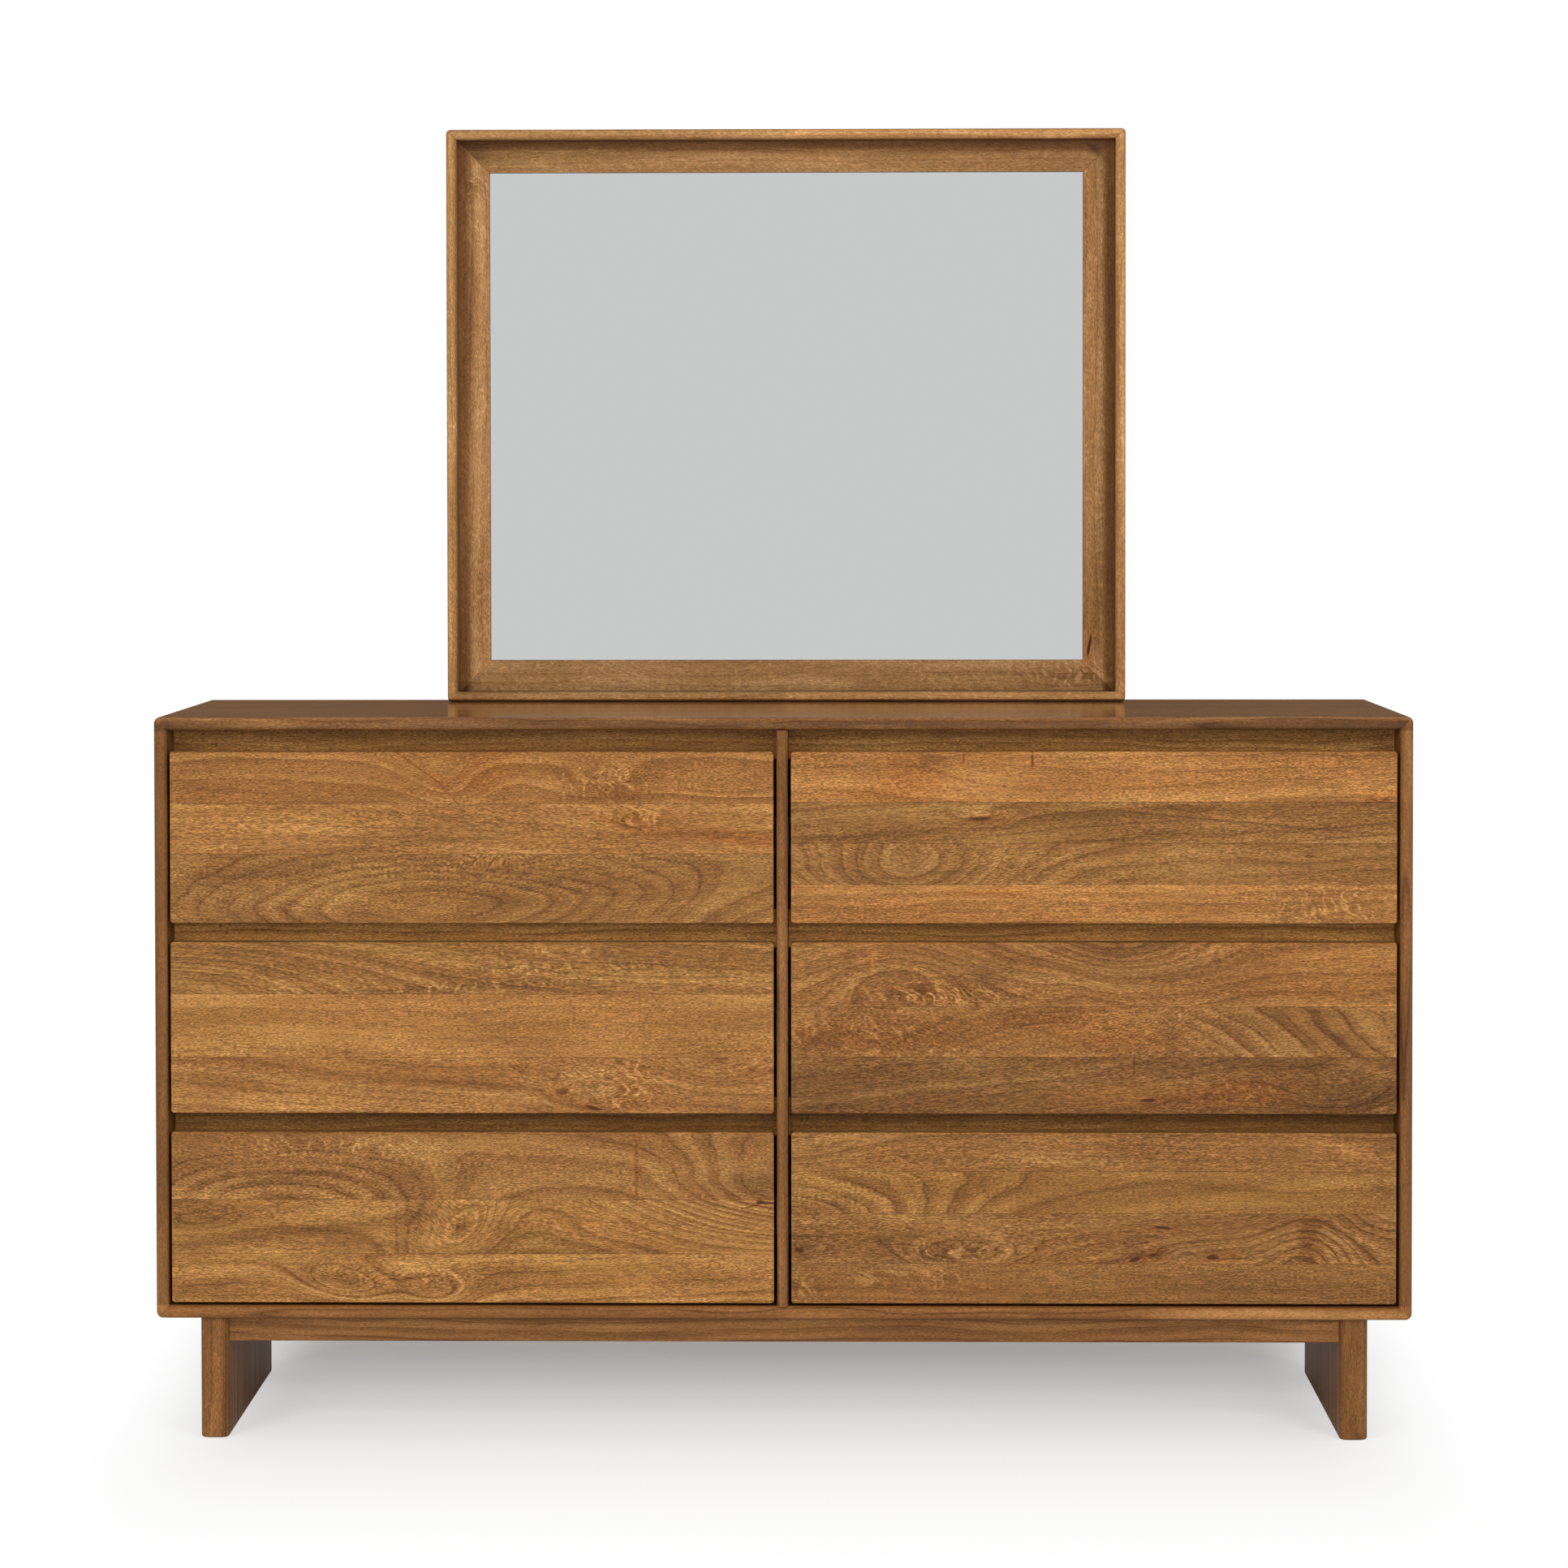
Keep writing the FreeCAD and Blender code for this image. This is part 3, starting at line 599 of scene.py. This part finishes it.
def rail_grain(tree, axes):
    """Grain of the rails behind the finger gaps. The middle ones get painted light, as their gaps lie
    in less shade.
    """
    grain = plain_grain(tree, axes, 900.0)
    up = grain.across
    # Painted light: the rails between about 500 and 700 mm up are made lighter.
    return grain._replace(shade=0.36 * up.between(500, 600) * (up < 700))


def ring_figure(tree, rings, place, seed):
    """Light and dark of the growth rings, about 0. rings is the distance across them."""
    fade = tree.noise(place, (140, 30, 30), seed + 4, detail=1.0).between(0.25, 0.55)
    phase = rings / RING_PITCH + 1.6 * tree.noise_along(rings, 50, seed + 2, detail=1.0)
    ring = phase.fraction()
    late = ring.between(0.2, 0.8) - ring.between(0.8, 1.0)
    line = ring.between(0.74, 0.81) - ring.between(0.82, 0.9)
    bands = tree.noise_along(rings, 26, seed + 1, detail=4.0, roughness=0.7) - 0.5
    return 0.1 - (0.22 * late + 0.26 * line) * fade + 1.2 * bands


def curl_figure(tree, grain, place, sway, seed):
    """Light and dark of curly wood, about 0: short strokes over flames with a sharp edge."""
    slant = tree.join(grain.along + 0.5 * grain.across + 60 * sway, grain.across, grain.through)
    stroke = tree.noise(slant, (5, 18, 18), seed + 11, detail=1.0).between(0.5, 0.72)
    flame = (6.0 * tree.noise(place, (46, 24, 24), seed + 13, detail=2.0)).fraction()
    edge = flame.between(0.12, 0.0)
    return 0.6 * stroke + 0.35 * flame - 0.35 + 0.6 * edge


def wood(name, timber, tints, grain_of, seed, satin, open_grain=1.0, relief=0.04):
    """Satin-lacquered wood. grain_of gives the grain of the board in a tree, open_grain is the
    strength of its fine threads, and relief is their depth in mm."""
    material, tree = new_material(name)
    grain = grain_of(tree)
    place = tree.join(grain.along, grain.across, grain.through)
    wander = tree.noise(place, (420, 80, 80), seed, detail=2.0) - 0.5
    sway = tree.noise(place, (90, 26, 26), seed + 3, detail=1.0) - 0.5
    bend = 46 * wander + 5 * sway + grain.bend
    rings = grain.straight * grain.across + 0.35 * grain.through + bend
    patch = tree.noise(place, (170, 34, 34), seed + 7, detail=1.0) - 0.5
    tone = 0.5 + ring_figure(tree, rings, place, seed) * grain.contrast + 0.7 * patch
    if grain.curl:
        tone = tone + grain.curl * curl_figure(tree, grain, place, sway, seed)
    colour = tree.node("ShaderNodeValToRGB", {"stops": [
        (0.0, timber.dark), (0.5, timber.middle), (1.0, timber.light)]}, {0: tone})

    hue = tree.noise(place, (200, 26, 26), seed + 9, detail=2.0) - 0.5
    warmth = 1.2 * hue + grain.warmth
    colour = tree.mix(warmth.greater(0.0), colour, tints.orange, "MULTIPLY")
    colour = tree.mix((-warmth).greater(0.0), colour, tints.golden, "MULTIPLY")

    # The finest grain flows round the figure: long fibres, short fuzz, soft streaks, open pores.
    ruffle = tree.noise(place, (14, 6, 6), seed + 12, detail=1.0)
    flow = tree.join(grain.along, grain.across + 0.25 * bend + 3.2 * ruffle, grain.through)
    fibre = tree.noise(flow, (15, 1.2, 1.2), seed, detail=0.0) - 0.5
    fuzz = tree.noise(flow, (4, 0.72, 0.72), seed + 10, detail=0.0) - 0.5
    streak = tree.noise(flow, (40, 2.2, 2.2), seed + 6, detail=1.0) - 0.5
    pores = tree.noise(flow, (7, 1.2, 1.2), seed + 5, detail=0.0).between(0.62, 0.7)
    coarse = 0.7 + 0.4 * tree.noise(place, (150, 34, 34), seed + 8, detail=1.0).between(0.3, 0.7)
    threads = ((1.1 * fibre + 2.6 * fuzz) * coarse + 0.3 * streak).greater(-0.42)
    lightness = (1.0 + open_grain * threads) * (1.0 + SHADE_STRENGTH * grain.shade)
    colour = tree.scaled(colour, lightness)
    colour = tree.mix(0.25 * pores, colour, timber.pore)
    if grain.dark:
        colour = tree.mix(grain.dark.lesser(1.0), colour, tints.knot)

    roughness = satin * (1.0 + 0.3 * fibre + 0.16 * patch)
    height = 0.6 * fibre - 0.6 * pores
    tree.surface(colour, roughness, height, relief * MM, Specular_IOR_Level=tints.gloss)
    return material


# ---- Settings -------------------------------------------------------------------------------
def colour_setting(name, description, default):
    return FloatVectorProperty(name=name, description=description, size=4, subtype="COLOR",
                               min=0.0, max=1.0, default=default)


def timber_settings(dark, middle, light, pore):
    """The four colours of one stained wood."""
    return {
        "dark": colour_setting("Dark rings", "Colour of the darkest growth rings", dark),
        "middle": colour_setting("Body", "Colour of most of the wood", middle),
        "light": colour_setting("Light rings", "Colour of the palest growth rings", light),
        "pore": colour_setting("Pores", "Colour of the open pores", pore),
    }


class FrontTimber(bpy.types.PropertyGroup):
    """Colours of the drawer fronts."""
    __annotations__ = timber_settings(screen(100, 65, 32), screen(132, 90, 47),
                                      screen(164, 121, 68), screen(78, 46, 22))


class CaseTimber(bpy.types.PropertyGroup):
    """Colours of the case and its base."""
    __annotations__ = timber_settings(screen(77, 47, 24), screen(112, 73, 38),
                                      screen(146, 102, 60), screen(56, 33, 16))


class MirrorTimber(bpy.types.PropertyGroup):
    """Colours of the mirror's frame and liner."""
    __annotations__ = timber_settings(screen(118, 79, 44), screen(156, 114, 70),
                                      screen(196, 153, 104), screen(84, 50, 26))


class BoxTimber(bpy.types.PropertyGroup):
    """Colours of the drawer boxes."""
    __annotations__ = timber_settings(screen(168, 132, 92), screen(198, 164, 122),
                                      screen(220, 192, 152), screen(128, 96, 62))


class PanelTimber(bpy.types.PropertyGroup):
    """Colours of the plywood panels."""
    __annotations__ = timber_settings(screen(150, 116, 80), screen(178, 144, 104),
                                      screen(200, 170, 130), screen(120, 90, 60))


class WoodTints(bpy.types.PropertyGroup):
    """What is the same in all the woods."""
    orange: colour_setting("Warm tint", "Filter over the orange streaks", (1.0, 0.86, 0.72, 1.0))
    golden: colour_setting("Cool tint", "Filter over the golden streaks", (0.91, 0.94, 0.82, 1.0))
    # Also the colour of the seams, the mitre lines and the painted contact shadow along the mirror's
    # foot.
    knot: colour_setting("Knots", "Colour inside knots and cracks", screen(58, 30, 13))
    satin: FloatProperty(name="Lacquer roughness", description="Roughness of the satin lacquer",
                         default=0.5, min=0.1, max=1.0)
    polish: FloatProperty(name="Top's roughness", description="Roughness of the case's rubbed top",
                          default=0.13, min=0.05, max=1.0)
    gloss: FloatProperty(name="Lacquer shine", description="Strength of the lacquer's reflection",
                         default=0.18, min=0.0, max=1.0)


class DresserFinishes(bpy.types.PropertyGroup):
    """Finishes of the dresser."""
    front: PointerProperty(type=FrontTimber)
    case: PointerProperty(type=CaseTimber)
    mirror: PointerProperty(type=MirrorTimber)
    box: PointerProperty(type=BoxTimber)
    panel: PointerProperty(type=PanelTimber)
    tints: PointerProperty(type=WoodTints)
    zinc: colour_setting("Black zinc", "Colour of the runners' plating", screen(46, 46, 48))
    bright_zinc: colour_setting("Bright zinc", "Colour of the screws' plating",
                                screen(206, 200, 182))
    silver: colour_setting("Mirror", "Colour of the silvered glass", screen(199, 201, 201))


class DresserStudio(bpy.types.PropertyGroup):
    """Light, floor and camera."""
    sky: FloatProperty(
        name="Room light", description="Strength of the even light from all round",
        default=0.26, min=0.0, max=2.0)
    key: FloatProperty(
        name="Softboxes", description="Power of each of the two large softboxes in front",
        default=67.0, min=0.0, unit="POWER")
    fill: FloatProperty(
        name="Low softbox", description="Power of the low softbox that lights the finger gaps",
        default=50.0, min=0.0, unit="POWER")
    shadow: FloatProperty(
        name="Shadow", description="How much of the dresser's shadow the floor shows",
        default=0.92, min=0.0, max=1.0, subtype="FACTOR")
    camera_place: FloatVectorProperty(
        name="Camera place", description="Where the camera stands", size=3,
        subtype="TRANSLATION", unit="LENGTH", default=(0.0721, -5.5487, 1.1459))
    camera_turn: FloatProperty(
        name="Turn", description="Camera's turn to the left", subtype="ANGLE", default=0.0174)
    camera_tilt: FloatProperty(
        name="Tilt", description="Camera's tilt down", subtype="ANGLE", default=0.0269)
    camera_roll: FloatProperty(
        name="Roll", description="Camera's roll", subtype="ANGLE", default=0.0013)
    lens: FloatProperty(
        name="Lens", description="Focal length in mm on a 36 mm sensor", default=100.99, min=10.0)
    shift: FloatVectorProperty(
        name="Shift", description="Lens shift, across and up, as a share of the frame", size=2,
        default=(0.0121, -0.1076))


class DRESSER_OT_drawer_fronts(bpy.types.Operator):
    """Give each drawer front its glued-up strips of figured wood"""
    bl_idname = "dresser.drawer_fronts"
    bl_label = "Drawer fronts"

    def execute(self, context):
        finishes = context.scene.dresser_finishes
        for number, (place, planks) in enumerate(FRONTS.items()):
            node = "drawer_front_" + place

            def grain_of(tree, node=node, planks=planks):
                return front_grain(tree, node, planks)

            coat(node, wood("front_wood_" + place, finishes.front, finishes.tints, grain_of,
                            12.0 * number + 2, finishes.tints.satin))
        return {"FINISHED"}


class DRESSER_OT_case(bpy.types.Operator):
    """Stain and lacquer the case, its rails, legs and aprons"""
    bl_idname = "dresser.case"
    bl_label = "Case and base"

    boards = {
        "xyz": ("case_bottom",),
        "xzy": ("front_apron", "rear_apron", "rear_rails"),
        "zyx": ("case_side_left", "case_side_right", "leg_left", "leg_right"),
        "zxy": ("centre_divider", "mirror_supports"),
    }

    def execute(self, context):
        finishes = context.scene.dresser_finishes
        for number, (axes, nodes) in enumerate(self.boards.items()):
            material = wood("case_wood_" + axes, finishes.case, finishes.tints,
                            lambda tree, axes=axes: case_grain(tree, axes), 20.0 + number,
                            finishes.tints.satin, open_grain=0.55)
            for node in nodes:
                coat(node, material)
        coat("case_top", wood("case_top_wood", finishes.case, finishes.tints, top_grain, 27.0,
                              finishes.tints.polish, open_grain=0.6, relief=0.01))
        rails = wood("rail_wood", finishes.front, finishes.tints,
                     lambda tree: rail_grain(tree, "xzy"), 25.0, finishes.tints.satin)
        for node in ("top_rails", "finger_rails"):
            coat(node, rails)
        return {"FINISHED"}


class DRESSER_OT_mirror(bpy.types.Operator):
    """Finish the mirror's frame and liner, and silver its glass"""
    bl_idname = "dresser.mirror"
    bl_label = "Mirror"

    boards = {
        "xzy": ("mirror_frame_top", "mirror_frame_bottom", "mirror_liner_rails"),
        "zxy": ("mirror_frame_left", "mirror_frame_right", "mirror_liner_stiles"),
    }

    def execute(self, context):
        finishes = context.scene.dresser_finishes
        for number, (axes, nodes) in enumerate(self.boards.items()):
            material = wood("mirror_wood_" + axes, finishes.mirror, finishes.tints,
                            lambda tree, axes=axes: mirror_grain(tree, axes), 30.0 + number,
                            finishes.tints.satin, open_grain=0.6)
            for node in nodes:
                coat(node, material)
        material, tree = new_material("mirror_silver")
        place = tree.join(*tree.board("xzy"))
        haze = tree.noise(place, (120, 120, 120), 1.0, detail=3.0)
        tree.surface(finishes.silver, 0.015 + 0.02 * haze, Metallic=1.0)
        coat("mirror_glass", material)
        return {"FINISHED"}


class DRESSER_OT_drawer_boxes(bpy.types.Operator):
    """Finish the drawer boxes and the thin panels"""
    bl_idname = "dresser.drawer_boxes"
    bl_label = "Drawer boxes and panels"

    def execute(self, context):
        finishes = context.scene.dresser_finishes
        pieces = {"box_sides_": "yzx", "box_ends_": "xzy"}
        for number, (piece, axes) in enumerate(pieces.items()):
            material = wood(piece + "wood", finishes.box, finishes.tints,
                            lambda tree, axes=axes: plain_grain(tree, axes, 1.0), 40.0 + number, 0.6)
            for drawer in DRAWERS:
                coat(piece + drawer, material)
        panels = {"xyz": ["box_bottom_" + drawer for drawer in DRAWERS],
                  "xzy": ["back_panel", "mirror_backing"]}
        for number, (axes, nodes) in enumerate(panels.items()):
            material = wood("panel_" + axes, finishes.panel, finishes.tints,
                            lambda tree, axes=axes: plain_grain(tree, axes, 2.0), 50.0 + number, 0.7)
            for node in nodes:
                coat(node, material)
        return {"FINISHED"}


class DRESSER_OT_runners(bpy.types.Operator):
    """Plate the drawer runners and the screws"""
    bl_idname = "dresser.runners"
    bl_label = "Runners and screws"

    def execute(self, context):
        finishes = context.scene.dresser_finishes
        black = self.plate("black_zinc", finishes.zinc, 0.6)
        coat("cabinet_runners", black)
        for drawer in DRAWERS:
            coat("middle_runners_" + drawer, black)
            coat("drawer_runners_" + drawer, black)
        coat("support_screws", self.plate("bright_zinc", finishes.bright_zinc, 1.0))
        return {"FINISHED"}

    def plate(self, name, zinc, metallic):
        """Zinc plate over drawn steel, with its cloudy passivation."""
        material, tree = new_material(name)
        place = tree.join(*tree.board("yzx"))
        streaks = tree.noise(place, (60, 0.8, 0.8), 4.0, detail=3.0)
        cloud = tree.noise(place, (40, 12, 12), 8.0, detail=4.0)
        colour = tree.scaled(zinc, 0.75 + 0.3 * cloud + 0.1 * streaks)
        tree.surface(colour, 0.36 + 0.2 * cloud, streaks, 0.03 * MM, Metallic=metallic,
                     Specular_IOR_Level=0.2)
        return material


class DRESSER_OT_studio(bpy.types.Operator):
    """Set up the floor, the soft light and the camera"""
    bl_idname = "dresser.studio"
    bl_label = "Studio"

    def execute(self, context):
        studio = context.scene.dresser_studio
        self.light_room(context, studio)
        self.lay_floor(context, studio)
        self.hang_softboxes(context, studio)
        self.stand_flag(context)
        self.place_camera(context, studio)
        context.scene.view_settings.view_transform = "Standard"
        return {"FINISHED"}

    def seen(self, tree):
        """1 where the eye, a reflection or a view through glass meets a backdrop."""
        paths = [tree.node("ShaderNodeLightPath", output=name) for name in
                 ("Is Camera Ray", "Is Glossy Ray", "Is Transmission Ray")]
        return (paths[0] + paths[1] + paths[2]).lesser(1.0)

    def light_room(self, context, studio):
        world = bpy.data.worlds.new("studio_room")
        world.use_nodes = True
        context.scene.world = world
        tree = Tree(world.node_tree)
        seen = self.seen(tree)
        view = tree.node("ShaderNodeTexCoord", output="Generated")
        up = tree.node("ShaderNodeSeparateXYZ", {}, {0: view}, output=2).between(-0.6, 0.9)
        lit = tree.node("ShaderNodeBackground", {},
                        {"Color": WHITE, "Strength": studio.sky * (0.6 + 1.3 * up)})
        white = tree.node("ShaderNodeBackground", {}, {"Color": WHITE, "Strength": 1.0})
        both = tree.node("ShaderNodeMixShader", {}, {0: seen, 1: lit, 2: white})
        tree.node("ShaderNodeOutputWorld", {}, {"Surface": both})

    def lay_floor(self, context, studio):
        """A pale floor that the eye sees as white, but for the dresser's shadow."""
        bpy.ops.mesh.primitive_circle_add(vertices=64, radius=FLOOR_RADIUS, fill_type="NGON",
                                          location=(0.0, 0.0, -FLOOR_DROP))
        floor = context.active_object
        floor.name = "floor"
        material, tree = new_material("pale_floor")
        x, y, z = tree.board("xyz")
        near = abs(x).between(*SHADOW_SIDES) * y.between(*SHADOW_FRONT) * y.between(*SHADOW_BACK)
        share = studio.shadow * near * (0.54 + 0.46 * y.between(0, 380))
        grit = tree.noise(tree.join(x, y, z), (3, 3, 3), 2.0)
        matt = tree.node("ShaderNodeBsdfDiffuse", {},
                         {"Color": tree.scaled(FLOOR_COLOUR, 0.98 + 0.04 * grit)})
        white = tree.node("ShaderNodeEmission", {}, {"Color": WHITE, "Strength": 1.0})
        plain = tree.node("ShaderNodeLightPath", output="Is Camera Ray") * (1.0 - share)
        both = tree.node("ShaderNodeMixShader", {}, {0: plain, 1: matt, 2: white})
        tree.node("ShaderNodeOutputMaterial", {}, {"Surface": both})
        floor.data.materials.append(material)

    def hang_softboxes(self, context, studio):
        for name, turn, height, tilt, tall, setting in SOFTBOXES:
            lamp = bpy.data.lights.new("softbox_" + name, "AREA")
            lamp.shape = "RECTANGLE"
            lamp.size = SOFTBOX_WIDTH
            lamp.size_y = tall
            lamp.energy = getattr(studio, setting)
            hung = bpy.data.objects.new("softbox_" + name, lamp)
            hung.visible_glossy = False
            hung.matrix_world = (Matrix.Rotation(math.radians(turn), 4, "Z")
                                 @ Matrix.Translation((0.0, -SOFTBOX_DISTANCE, height))
                                 @ Matrix.Rotation(math.radians(tilt), 4, "X"))
            context.scene.collection.objects.link(hung)

    def stand_flag(self, context):
        """A dark card behind, for the top to reflect. Only reflections meet it."""
        bpy.ops.mesh.primitive_plane_add(size=1.0, location=FLAG_PLACE,
                                         rotation=(math.pi / 2, 0.0, 0.0))
        flag = context.active_object
        flag.name = "flag"
        flag.scale = FLAG_SIZE
        flag.visible_camera = False
        flag.visible_diffuse = False
        flag.visible_shadow = False
        material, tree = new_material("flag_cloth")
        weave = tree.noise(tree.join(*tree.board("xzy")), (2, 2, 2), 1.0)
        tree.surface(tree.scaled(FLAG_COLOUR, 0.8 + 0.4 * weave), 0.9)
        flag.data.materials.append(material)

    def place_camera(self, context, studio):
        lens = bpy.data.cameras.new("camera")
        lens.lens = studio.lens
        lens.sensor_width = 36.0
        lens.shift_x, lens.shift_y = studio.shift
        camera = bpy.data.objects.new("camera", lens)
        camera.matrix_world = (Matrix.Translation(studio.camera_place)
                               @ Matrix.Rotation(studio.camera_turn, 4, "Z")
                               @ Matrix.Rotation(math.pi / 2 - studio.camera_tilt, 4, "X")
                               @ Matrix.Rotation(-studio.camera_roll, 4, "Z"))
        context.scene.collection.objects.link(camera)
        context.scene.camera = camera


class DRESSER_PT_panel(bpy.types.Panel):
    """Lists what the dresser is finished with"""
    bl_idname = "DRESSER_PT_panel"
    bl_label = "Dresser"
    bl_space_type = "VIEW_3D"
    bl_region_type = "UI"
    bl_category = "Dresser"

    def draw(self, context):
        for operator in OPERATORS:
            self.layout.operator(operator.bl_idname)


OPERATORS = (DRESSER_OT_drawer_fronts, DRESSER_OT_case, DRESSER_OT_mirror,
             DRESSER_OT_drawer_boxes, DRESSER_OT_runners, DRESSER_OT_studio)
CLASSES = (FrontTimber, CaseTimber, MirrorTimber, BoxTimber, PanelTimber, WoodTints,
           DresserFinishes, DresserStudio, *OPERATORS, DRESSER_PT_panel)


def register():
    for kind in CLASSES:
        bpy.utils.register_class(kind)
    bpy.types.Scene.dresser_finishes = PointerProperty(type=DresserFinishes)
    bpy.types.Scene.dresser_studio = PointerProperty(type=DresserStudio)


def unregister():
    del bpy.types.Scene.dresser_studio
    del bpy.types.Scene.dresser_finishes
    for kind in reversed(CLASSES):
        bpy.utils.unregister_class(kind)


def main():
    register()
    for operator in OPERATORS:
        group, name = operator.bl_idname.split(".")
        getattr(getattr(bpy.ops, group), name)()


if __name__ == "__main__":
    main()
